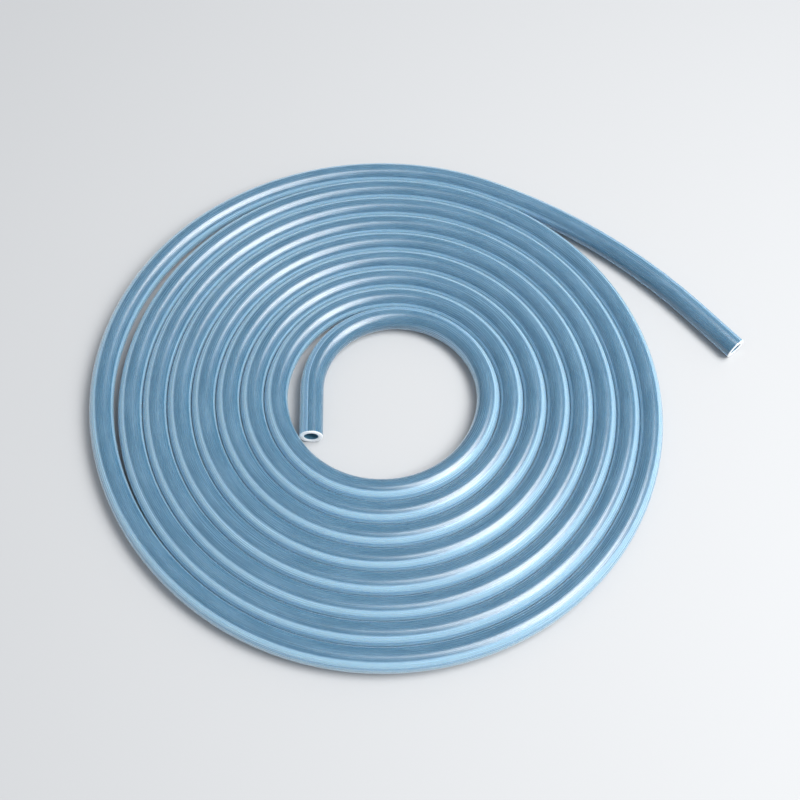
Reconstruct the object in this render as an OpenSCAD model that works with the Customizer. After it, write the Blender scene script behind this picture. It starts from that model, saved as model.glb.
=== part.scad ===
// Soft laboratory tubing, wound into a flat spiral of one layer that lies on its side.
// The tube's middle line is a chain of arcs, each of which leaves the one before it in its own
// direction, with a straight stretch at either end. Seen from above it runs clockwise, outwards.
// The origin is in the plane that the coil lies on, at its middle.

/* [Tube] */
// Diameter of the bore
bore_d = 6; // [3:0.5:9]
// Thickness of the wall
wall = 2; // [1:0.1:3]

/* [Coil] */
// Number of times the tube goes round
turns = 8; // [3:1:10]
// Mean radius of the tube's middle line where the first turn starts
first_r = 41.5; // [34:0.5:70]
// Clearance between neighbouring turns
turn_gap = 0.12; // [0.1:0.01:0.5]
// How much the quarters at two opposite corners are flatter than a circle, and the others rounder
oval = 3.3; // [0:0.1:5]
// Widest opening between the last turn and the one within it
loose_gap = 2.6; // [0.2:0.1:6]

/* [Inner end] */
// Straight stretch at the inner end
inner_len = 22; // [12:0.5:30]
// Clearance between the inner end's mouth and the first turn
mouth_gap = 0.15; // [0.1:0.05:2]

/* [Outer end] */
// How much wider than the last turn the outer end's bend is
tail_open = 112; // [20:1:200]
// Straight stretch at the outer end
outer_len = 25; // [12:0.5:80]

/* [Hidden] */
$fn = 128;

tube_d = bore_d + 2 * wall;
pitch = tube_d + turn_gap;

// The last turn stands off on either side of one direction, and is flattened in the middle there
loose_mid_angle = 165;
loose_half_angle = 75;
loose_flat_angle = 31;
// How far round the tube stays on the coil past its last full turn
stay_angle = 13;

// Each end is turned from a quarter direction by some steps, where a step is the smaller angle in
// a triangle of sides 3, 4 and 5. Six steps or fewer have a sine and cosine that end early
step = atan2(3, 4);
most_steps = 6;
inner_steps = 10;
outer_steps = 6;
inner_back_angle = -180;
outer_back_angle = 90;
// The last part of an end bend is made with the straight stretch, and laps the rest of the bend
end_lap_angle = 10;

function unit(angle) = [cos(angle), sin(angle)];
function thousandth(x) = round(x * 1000) / 1000;

// Radius and centre of the quarter turn q, where quarter 0 goes from the coil's top to its right.
// The quarters have four centres in all, and these lie evenly round the origin
function radius(q) = first_r + pitch * q / 4 + (q % 2 == 0 ? -oval : oval);
function centre(q) =
    q == 0
    ? [radius(1) - radius(0), radius(1) - radius(2)] / 2
    : centre(q - 1) + (radius(q - 1) - radius(q)) * unit(90 - 90 * q);

// Growth and loss of radius that lift the last turn off by loose_gap and set it back again
loose_ratio = sin(loose_half_angle) / sin(loose_flat_angle);
lift = thousandth(loose_gap
    / (1 - loose_ratio - cos(loose_half_angle) + loose_ratio * cos(loose_flat_angle)));
dip = thousandth(lift * (loose_ratio - 1));

// The arcs from the last turn's bottom to the outer bend, each as [angle turned, radius], and the
// outer bend's radius
last = 4 * turns - 2;
outer_arcs = [
    [270 - loose_mid_angle - loose_half_angle, radius(last)],
    [loose_half_angle - loose_flat_angle, radius(last) + lift],
    [loose_mid_angle + loose_flat_angle - 180, radius(last) - dip],
    [180 - loose_mid_angle + loose_flat_angle, radius(last + 1) - dip],
    [loose_half_angle - loose_flat_angle, radius(last + 1) + lift],
    [stay_angle, radius(last + 2)],
];
arcs = len(outer_arcs);
tail_r = radius(last + 2) + tail_open;

// Direction from an arc's centre to its start, and that centre, which the outer bend has too
function arc_from(i) = i == 0 ? -90 : arc_from(i - 1) - outer_arcs[i - 1][0];
function arc_centre(i) =
    let (before = i == 0 ? radius(last - 1) : outer_arcs[i - 1][1])
    (i == 0 ? centre(last - 1) : arc_centre(i - 1))
    + (before - (i == arcs ? tail_r : outer_arcs[i][1])) * unit(arc_from(i));

// The inner bend is as wide as lets the mouth's outer corner clear the inside of the first turn:
// the corner's place for a bend of no radius, and how the corner moves as the radius grows
lead_to = inner_back_angle + inner_steps * step;
corner = centre(0) + radius(0) * unit(90) - centre(2)
    + tube_d / 2 * unit(lead_to) + inner_len * unit(lead_to + 90);
corner_move = unit(lead_to) - unit(90);
room_r = radius(2) - tube_d / 2 - mouth_gap;
lead_r = thousandth((sqrt((corner * corner_move) ^ 2
        - (corner_move * corner_move) * (corner * corner - room_r ^ 2))
    - corner * corner_move) / (corner_move * corner_move));
lead_centre = centre(0) + (radius(0) - lead_r) * unit(90);

// Moves what follows to a point, exact to far less than a thousandth
module at(p) {
    rough = [round(p.x * 100) / 100, round(p.y * 100) / 100];
    translate([rough.x, rough.y, 0])
        translate([p.x - rough.x, p.y - rough.y, 0])
            children();
}

// Turns what follows by some steps
module turned(steps) {
    rotate([0, 0, min(steps, most_steps) * step])
        if (steps > most_steps)
            turned(steps - most_steps) children();
        else
            children();
}

// The tube's section, lying flat at a distance from the axis that it goes round
module section(x = 0) {
    translate([x, tube_d / 2])
        difference() {
            circle(d = tube_d);
            circle(d = bore_d);
        }
}

// A bend of the tube, anticlockwise from one direction through an angle
module bend(r, from, angle) {
    rotate_extrude(angle = angle, start = from)
        section(r);
}

// A bend from one direction to another that is some steps on from `back`, and the straight end
module ending(r, from, back, steps, length) {
    bend(r, from, floor(back + steps * step - from - end_lap_angle / 2));
    rotate([0, 0, back])
        turned(steps) {
            bend(r, -end_lap_angle, end_lap_angle);
            translate([r, 0, 0])
                rotate([90, 0, 180])
                    linear_extrude(height = length)
                        section();
        }
}

// The quarters that lie side by side in one quadrant, which share their centre
module quarters(q, count) {
    at(centre(q))
        rotate_extrude(angle = 90, start = -90 * q)
            for (turn = [0 : count - 1])
                section(radius(q + 4 * turn));
}

module inner_end() {
    at(lead_centre)
        ending(lead_r, 90, inner_back_angle, inner_steps, inner_len);
}

// The last turn from its bottom on, and the outer end's bend, which is drawn in a mirror because an
// ending goes anticlockwise
module outer_end() {
    for (i = [0 : arcs - 1])
        at(arc_centre(i))
            bend(outer_arcs[i][1], arc_from(i) - outer_arcs[i][0], outer_arcs[i][0]);
    at(arc_centre(arcs))
        mirror([0, 1, 0])
            ending(tail_r, -arc_from(arcs), outer_back_angle, outer_steps, outer_len);
}

module silicone_tube() {
    color("lightsteelblue") {
        inner_end();
        for (q = [0 : 3])
            quarters(q, q < 2 ? turns : turns - 1);
        outer_end();
    }
}

silicone_tube();
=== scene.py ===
"""A coil of soft, milky blue tubing: one tube, swept along the spiral that it is wound in.

All lengths are in metres. Seen from above, the tube runs clockwise and outwards from its inner end.
"""

import math

import bmesh
import bpy
from mathutils import Matrix, Vector


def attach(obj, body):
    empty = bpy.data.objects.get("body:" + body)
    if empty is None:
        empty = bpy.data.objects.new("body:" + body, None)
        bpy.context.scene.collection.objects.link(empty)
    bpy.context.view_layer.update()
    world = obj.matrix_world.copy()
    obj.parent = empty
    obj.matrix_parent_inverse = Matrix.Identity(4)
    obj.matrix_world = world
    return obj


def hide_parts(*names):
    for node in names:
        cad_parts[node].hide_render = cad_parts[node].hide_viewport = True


MM = 0.001

# The tube
BORE_R = 3 * MM
TUBE_R = 5 * MM
RIM_R = 0.35 * MM

# The mesh: sides of the tube, rings in a quarter turn and in a straight end, the short last step of
# an end, which keeps the rim's shading off the wall, and how near to each other points are merged
SIDES = 44
QUARTER_STEPS = 30
END_STEPS = 6
END_STEP = 0.6 * MM
MERGE = 0.001 * MM

# Degrees between the points of the tube's middle line
PATH_TURN = 5

# The coil: its full turns, the quarter turn from which the last turn stands off, the mean radius
# where the first turn starts, the way from turn to turn, and how much wider than a circle's the arcs
# of the two flatter quarters are, and tighter those of the others
TURNS = 8
LAST = 4 * TURNS - 2
FIRST_R = 41.5 * MM
PITCH = 10.12 * MM
OVAL = 3.3 * MM

# The last turn's gap to the one within it, and in degrees its middle, half of its width and half of
# the width of its flattened middle
LOOSE_GAP = 2.6 * MM
LOOSE_MID = 165
LOOSE_HALF = 75
LOOSE_FLAT = 31

# The ends, whose directions are whole numbers of the smaller angle in a 3-4-5 triangle. The outer
# one follows the coil for some degrees past its last full turn, and then a wider bend
STEP = math.degrees(math.atan2(3, 4))
INNER_TO = 10 * STEP - 180
INNER_LENGTH = 22 * MM
MOUTH_GAP = 0.15 * MM
OUTER_TO = -6 * STEP - 90
OUTER_LENGTH = 25 * MM
STAY = 13
TAIL_OPEN = 112 * MM

# The colours of the silicone: painted shade over the bore, painted light beside it, a painted
# mid-tone between the two, painted shade in the bore, and white where cut
PAINTED_SHADE_BLUE = (0.095, 0.25, 0.38, 1)
PAINTED_LIGHT_BLUE = (0.49, 0.75, 0.96, 1)
PAINTED_MID_BLUE = (0.26, 0.49, 0.69, 1)
PAINTED_BORE_SHADE = (0.10, 0.25, 0.36, 1)
CUT_WHITE = (0.93, 0.96, 0.97, 1)

# Where each painted band of light and shade lies across the tube, from a bend's inner side at 0 over
# the top to its outer side at 1, on the turns and on the two free ends
PAINTED_TURN_BANDS = (
    (0.06, PAINTED_LIGHT_BLUE),
    (0.10, PAINTED_SHADE_BLUE),
    (0.67, PAINTED_SHADE_BLUE),
    (0.74, PAINTED_LIGHT_BLUE),
    (0.90, PAINTED_LIGHT_BLUE),
    (0.93, PAINTED_MID_BLUE),
    (0.96, PAINTED_LIGHT_BLUE),
)
PAINTED_END_BANDS = (
    (0.64, PAINTED_SHADE_BLUE),
    (0.67, PAINTED_LIGHT_BLUE),
    (0.70, PAINTED_MID_BLUE),
    (0.80, PAINTED_MID_BLUE),
    (0.84, PAINTED_LIGHT_BLUE),
)

# How far from a cut face the white ends and the wall begins, and how far the ends' painted bands of
# light and shade reach
CUT_DEPTH = 0.15 * MM, 0.55 * MM
END_REACH = 80 * MM, 120 * MM

# The least and most roughness of the streaks, the light that goes through the wall, and what is the
# same all over the silicone
ROUGHNESS = 0.21, 0.31
CLARITY = 0.45
SILICONE = {
    "IOR": 1.41,
    "Subsurface Weight": 0.9,
    "Subsurface Radius": (1, 1, 1),
    "Subsurface Scale": 1.5 * MM,
    "Sheen Weight": 0.7,
    "Sheen Roughness": 0.2,
    "Sheen Tint": (0.8, 0.9, 1.0, 1),
    "Coat Weight": 0.8,
    "Coat Roughness": 0.26,
    "Coat IOR": 1.6,
}

# The floor and the light, which comes from over the coil's right in strips along a level direction
FLOOR_R = 4
FLOOR_GREY = (0.46, 0.465, 0.47, 1)
SKY = (0.92, 0.95, 1.0, 1)
SKY_STRENGTH = 0.6
LIGHT_FROM = Vector((0.478, -0.005, 0.879))
LIGHT_ALONG = 135

# The photograph's frame and its camera
PICTURE = 800
FOCAL_PIXELS = 1176.9
CENTRE_ROW = 412
LOOK_AT = Vector((5.76, -6.96, 5.0)) * MM
CAMERA_DISTANCE = 0.5009
ELEVATION = math.radians(61.8)
ROLL = math.radians(8.6)


def unit(degrees):
    angle = math.radians(degrees)
    return Vector((math.cos(angle), math.sin(angle), 0))


def put(name, data):
    made = bpy.data.objects.new(name, data)
    bpy.context.collection.objects.link(made)
    return made


def finished(bm, name):
    mesh = bpy.data.meshes.new(name)
    bm.to_mesh(mesh)
    bm.free()
    return mesh


def radius(quarter):
    """Radius of a quarter turn, where quarter 0 goes from the coil's top to its right."""
    return FIRST_R + PITCH * quarter / 4 + (-OVAL if quarter % 2 == 0 else OVAL)


def centre(quarter):
    point = Vector((radius(1) - radius(0), radius(1) - radius(2), 0)) / 2
    for q in range(quarter):
        point = point + (radius(q) - radius(q + 1)) * unit(-90 * q)
    return point


def inner_radius():
    """Radius of the inner bend that lets the mouth's outer corner clear the first turn."""
    corner = centre(0) + radius(0) * unit(90) - centre(2)
    corner += TUBE_R * unit(INNER_TO) + INNER_LENGTH * unit(INNER_TO + 90)
    move = unit(INNER_TO) - unit(90)
    room = radius(2) - TUBE_R - MOUTH_GAP
    a, b, c = move.dot(move), corner.dot(move), corner.dot(corner) - room**2
    return (math.sqrt(b * b - a * c) - b) / a


def end_arcs():
    """The bends from the last turn's bottom outwards, each as (centre, radius, from, to) in degrees.
    The last turn's upper half stands off, and then the outer end leaves it."""
    half, flat = math.radians(LOOSE_HALF), math.radians(LOOSE_FLAT)
    ratio = math.sin(half) / math.sin(flat)
    lift = LOOSE_GAP / (1 - ratio - math.cos(half) + ratio * math.cos(flat))
    dip = lift * (ratio - 1)
    side = LOOSE_HALF - LOOSE_FLAT
    ends = (
        (270 - LOOSE_MID - LOOSE_HALF, radius(LAST)),
        (side, radius(LAST) + lift),
        (LOOSE_MID + LOOSE_FLAT - 180, radius(LAST) - dip),
        (180 - LOOSE_MID + LOOSE_FLAT, radius(LAST + 1) - dip),
        (side, radius(LAST + 1) + lift),
        (STAY, radius(LAST + 2)),
        (90 - STAY - 360 - OUTER_TO, radius(LAST + 2) + TAIL_OPEN),
    )
    out = []
    point, before, angle = centre(LAST - 1), radius(LAST - 1), -90
    for turned, r in ends:
        point = point + (before - r) * unit(angle)
        out.append((point, r, angle, angle - turned))
        angle, before = angle - turned, r
    return out


def bends():
    """All the bends from the inner end outwards."""
    lead = inner_radius()
    out = [(centre(0) + (radius(0) - lead) * unit(90), lead, INNER_TO, 90)]
    out += [(centre(q), radius(q), 90 - 90 * q, -90 * q) for q in range(LAST)]
    return out + end_arcs()


def travelled():
    """The tube's length from its inner end to where each bend starts, and in all."""
    out = [INNER_LENGTH]
    for _, r, a, b in bends():
        out.append(out[-1] + r * math.radians(a - b))
    return out, out[-1] + OUTER_LENGTH


def centreline():
    middle = Vector((0, 0, TUBE_R))
    point, r, first, _ = bends()[0]
    points = [point + r * unit(first) - INNER_LENGTH * unit(first - 90) + middle]
    for point, r, a, b in bends():
        steps = math.ceil((a - b) / PATH_TURN)
        points += [point + r * unit(a + (b - a) * k / steps) + middle for k in range(steps)]
    end = point + r * unit(b) + middle
    return points + [end, end + OUTER_LENGTH * unit(b - 90)]


def section(bm, axis, r, angle, along):
    """The tube's two circles at an angle round a bend's axis, as edges. Each point keeps its place
    in the section and along the tube."""
    layers = bm.verts.layers.float
    place = (
        Matrix.Translation(axis + r * unit(angle) + Vector((0, 0, TUBE_R)))
        @ Matrix.Rotation(math.radians(angle), 4, "Z")
        @ Matrix.Rotation(math.radians(90), 4, "X")
    )
    rings = []
    for wall_r in (TUBE_R, BORE_R):
        verts = bmesh.ops.create_circle(bm, cap_ends=False, segments=SIDES, radius=wall_r)["verts"]
        for v in verts:
            v[layers["across"]], v[layers["up"]] = v.co.x / TUBE_R, v.co.y / TUBE_R
            v[layers["along"]] = along
        bmesh.ops.transform(bm, matrix=place, verts=verts)
        rings.append(list({e for v in verts for e in v.link_edges}))
    return rings


def swing(bm, rings, axis, a, b, steps):
    """Swings rings of edges round an axis and adds to each point the way that it has gone."""
    across, along = (bm.verts.layers.float[name] for name in ("across", "along"))
    before = len(bm.verts)
    edges = [e for ring in rings for e in ring]
    bmesh.ops.spin(bm, geom=edges, cent=axis, axis=(0, 0, 1), angle=math.radians(b - a), steps=steps)
    bm.verts.ensure_lookup_table()
    for v in bm.verts[before:]:
        arm = v.co - axis
        turned = math.radians(a) - math.atan2(arm.y, arm.x)
        v[along] += (math.hypot(arm.x, arm.y) - v[across] * TUBE_R) * (turned % math.tau)


def straight(bm, rings, direction, distance):
    """Extrudes rings of edges to the tube's end."""
    along = bm.verts.layers.float["along"]
    last = math.copysign(END_STEP, distance)
    moves = [(distance - last) / END_STEPS] * END_STEPS + [last]
    for ring in rings:
        for move in moves:
            made = bmesh.ops.extrude_edge_only(bm, edges=ring)["geom"]
            verts = {g for g in made if isinstance(g, bmesh.types.BMVert)}
            bmesh.ops.translate(bm, verts=list(verts), vec=direction * move)
            edges = (g for g in made if isinstance(g, bmesh.types.BMEdge))
            ring = [e for e in edges if verts.issuperset(e.verts)]
            for v in verts:
                v[along] += move


def close_ends(bm, length):
    """Closes the wall at both cut ends, with a slightly rounded rim inside and out."""
    along, across, up = (bm.verts.layers.float[name] for name in ("along", "across", "up"))
    between = (BORE_R + TUBE_R) / 2 / TUBE_R
    bore = [f for f in bm.faces if all(math.hypot(v[across], v[up]) < between for v in f.verts)]
    bmesh.ops.reverse_faces(bm, faces=bore)
    for end in (0, length):
        rims = [e for e in bm.edges if e.is_boundary and abs(e.verts[0][along] - end) < MM]
        bmesh.ops.bridge_loops(bm, edges=rims)
        bmesh.ops.bevel(
            bm, geom=rims, offset=RIM_R, segments=3, profile=0.5, affect="EDGES", material=-1
        )


def tube_mesh():
    bm = bmesh.new()
    for name in ("along", "across", "up"):
        bm.verts.layers.float.new(name)
    starts, length = travelled()
    parts = bends()

    # The quarters that share a centre are swung together
    for q in range(4):
        rings = []
        for k in range(q, LAST, 4):
            rings += section(bm, centre(q), radius(k), 90 - 90 * q, starts[k + 1])
        swing(bm, rings, centre(q), 90 - 90 * q, -90 * q, QUARTER_STEPS)
    for k in (0, *range(LAST + 1, len(parts))):
        axis, r, a, b = parts[k]
        rings = section(bm, axis, r, a, starts[k])
        swing(bm, rings, axis, a, b, math.ceil((a - b) / 90 * QUARTER_STEPS))
    axis, r, a, _ = parts[0]
    straight(bm, section(bm, axis, r, a, starts[0]), unit(a - 90), -INNER_LENGTH)
    axis, r, _, b = parts[-1]
    straight(bm, section(bm, axis, r, b, starts[-1]), unit(b - 90), OUTER_LENGTH)

    bmesh.ops.remove_doubles(bm, verts=bm.verts, dist=MERGE)
    close_ends(bm, length)
    bmesh.ops.recalc_face_normals(bm, faces=bm.faces)
    for face in bm.faces:
        face.smooth = True
    return finished(bm, "tube_walls")


class Shading:
    """A material's nodes, with a short call for each kind that the silicone needs."""

    def __init__(self, material):
        material.use_nodes = True
        self.tree = material.node_tree
        self.shader = self.tree.nodes["Principled BSDF"]

    def add(self, kind, **settings):
        node = self.tree.nodes.new(kind)
        for name, value in settings.items():
            setattr(node, name, value)
        return node

    def feed(self, socket, value):
        """Links another node's output to a socket, or sets the socket to a number or a colour."""
        if isinstance(value, bpy.types.NodeSocket):
            self.tree.links.new(value, socket)
        else:
            socket.default_value = value

    def attribute(self, name):
        return self.add("ShaderNodeAttribute", attribute_name=name).outputs["Fac"]

    def calculate(self, operation, a, b):
        node = self.add("ShaderNodeMath", operation=operation)
        self.feed(node.inputs[0], a)
        self.feed(node.inputs[1], b)
        return node.outputs[0]

    def blend(self, factor, a, b):
        node = self.add("ShaderNodeMix", data_type="RGBA")
        for k, value in ((0, factor), (6, a), (7, b)):
            self.feed(node.inputs[k], value)
        return node.outputs[2]

    def spread(self, value, low, high, to_low=0, to_high=1):
        node = self.add("ShaderNodeMapRange", clamp=True)
        for k, end in enumerate((value, low, high, to_low, to_high)):
            self.feed(node.inputs[k], end)
        return node.outputs[0]

    def ramp(self, value, stops):
        node = self.add("ShaderNodeValToRGB")
        self.feed(node.inputs[0], value)
        elements = node.color_ramp.elements
        while len(elements) < len(stops):
            elements.new(1)
        for element, (place, colour) in zip(elements, stops):
            element.position, element.color = place, colour
        return node.outputs[0]

    def noise(self, places, scales, detail):
        """Noise over three places, each with a scale of its own."""
        point = self.add("ShaderNodeCombineXYZ")
        for k, (place, scale) in enumerate(zip(places, scales)):
            self.feed(point.inputs[k], self.calculate("MULTIPLY", place, scale))
        node = self.add("ShaderNodeTexNoise", noise_dimensions="3D")
        self.feed(node.inputs["Scale"], 1)
        self.feed(node.inputs["Detail"], detail)
        self.feed(node.inputs["Vector"], point.outputs[0])
        return node.outputs["Fac"]


def painted_bands_and_clouds(shading, from_end, across, up, clouds):
    """Painted bands of light and shade round the tube: painted shade over the bore, painted light
    beside it and below, with faint milky clouds.
    """
    # Painted light and shade in bands across the tube, laid out one way on the turns and another on
    # the free ends
    side = shading.spread(across, -1, 1)
    turns = shading.ramp(side, PAINTED_TURN_BANDS)
    ends = shading.ramp(side, PAINTED_END_BANDS)
    blue = shading.blend(shading.spread(from_end, *END_REACH), ends, turns)
    # Painted light: the underside is blended towards the painted light blue
    blue = shading.blend(shading.spread(up, -0.3, -0.15, to_low=0.8, to_high=0), blue, PAINTED_LIGHT_BLUE)
    return shading.blend(shading.spread(clouds, 0.35, 0.65, to_high=0.12), blue, PAINTED_LIGHT_BLUE)


def silicone(length):
    """Translucent, milky silicone with a gloss, whose base colour carries painted shade over the
    bore and in it, and painted light beside it. Fine streaks from the die run along the tube, and
    its cut faces are white and let no light through."""
    material = bpy.data.materials.new("milky_blue_silicone")
    shading = Shading(material)
    sockets = shading.shader.inputs
    for name, value in SILICONE.items():
        sockets[name].default_value = value

    along, across, up = places = [shading.attribute(name) for name in ("along", "across", "up")]
    streaks = shading.noise(places, (25, 10, 10), 3)
    clouds = shading.noise(places, (60, 1.5, 1.5), 2)

    # The distance from the nearer cut face, and the square of the distance from the middle line
    from_end = shading.calculate("MINIMUM", along, shading.calculate("SUBTRACT", length, along))
    body = shading.spread(from_end, *CUT_DEPTH)
    off_middle = shading.calculate(
        "ADD", shading.calculate("MULTIPLY", across, across), shading.calculate("MULTIPLY", up, up)
    )
    outside = shading.spread(off_middle, 0.5, 0.8)

    # Painted bands of light and shade on the outer wall, and painted shade in the bore
    wall = painted_bands_and_clouds(shading, from_end, across, up, clouds)
    blue = shading.blend(outside, PAINTED_BORE_SHADE, wall)
    shading.feed(sockets["Base Color"], shading.blend(body, CUT_WHITE, blue))
    shading.feed(sockets["Roughness"], shading.spread(streaks, 0.3, 0.7, *ROUGHNESS))
    clear = shading.calculate("MULTIPLY", body, outside)
    shading.feed(sockets["Transmission Weight"], shading.calculate("MULTIPLY", clear, CLARITY))
    bump = shading.add("ShaderNodeBump")
    shading.feed(bump.inputs["Strength"], 0.02)
    shading.feed(bump.inputs["Distance"], 0.05 * MM)
    shading.feed(bump.inputs["Height"], streaks)
    shading.feed(sockets["Normal"], bump.outputs[0])
    return material


def tube():
    points = centreline()
    _, length = travelled()
    piece = put("tube", tube_mesh())
    piece.data.materials.append(silicone(length))
    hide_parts("silicone_tube")
    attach(piece, "root")


def floor():
    bm = bmesh.new()
    bmesh.ops.create_circle(bm, cap_ends=True, segments=64, radius=FLOOR_R)
    piece = put("floor", finished(bm, "floor"))
    material = bpy.data.materials.new("pale_floor")
    material.use_nodes = True
    shader = material.node_tree.nodes["Principled BSDF"]
    shader.inputs["Base Color"].default_value = FLOOR_GREY
    shader.inputs["Roughness"].default_value = 0.7
    piece.data.materials.append(material)


def softbox(name, distance, size, watts):
    """An area light that faces the coil, with its first side level."""
    data = bpy.data.lights.new(name, "AREA")
    data.shape = "RECTANGLE"
    data.size, data.size_y = size
    data.energy = watts
    back = LIGHT_FROM.normalized()
    across = back.cross(unit(LIGHT_ALONG)).normalized()
    turn = Matrix((across.cross(back), across, back)).transposed().to_4x4()
    put(name, data).matrix_world = Matrix.Translation(back * distance) @ turn


def studio():
    world = bpy.data.worlds.new("studio")
    bpy.context.scene.world = world
    world.use_nodes = True
    background = world.node_tree.nodes["Background"]
    background.inputs["Color"].default_value = SKY
    background.inputs["Strength"].default_value = SKY_STRENGTH
    softbox("window", distance=1.6, size=(1.2, 0.25), watts=7)
    softbox("wash", distance=1.0, size=(0.86, 0.57), watts=12)


def camera():
    data = bpy.data.cameras.new("camera")
    data.sensor_width = 36
    data.lens = data.sensor_width * FOCAL_PIXELS / PICTURE
    data.shift_y = (CENTRE_ROW - PICTURE / 2) / PICTURE
    data.clip_start = 0.01
    back = Vector((0, -math.cos(ELEVATION), math.sin(ELEVATION)))
    turn = Matrix.Rotation(math.pi / 2 - ELEVATION, 4, "X") @ Matrix.Rotation(ROLL, 4, "Z")
    view = put("camera", data)
    view.matrix_world = Matrix.Translation(LOOK_AT + CAMERA_DISTANCE * back) @ turn
    bpy.context.scene.camera = view


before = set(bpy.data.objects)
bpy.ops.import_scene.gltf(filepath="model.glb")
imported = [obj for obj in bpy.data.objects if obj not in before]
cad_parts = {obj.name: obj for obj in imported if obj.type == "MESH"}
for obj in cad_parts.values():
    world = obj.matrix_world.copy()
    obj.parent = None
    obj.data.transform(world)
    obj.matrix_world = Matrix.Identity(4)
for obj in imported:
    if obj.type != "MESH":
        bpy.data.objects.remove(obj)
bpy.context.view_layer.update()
camera()
tube()
floor()
studio()
bpy.context.scene.view_settings.view_transform = "Standard"
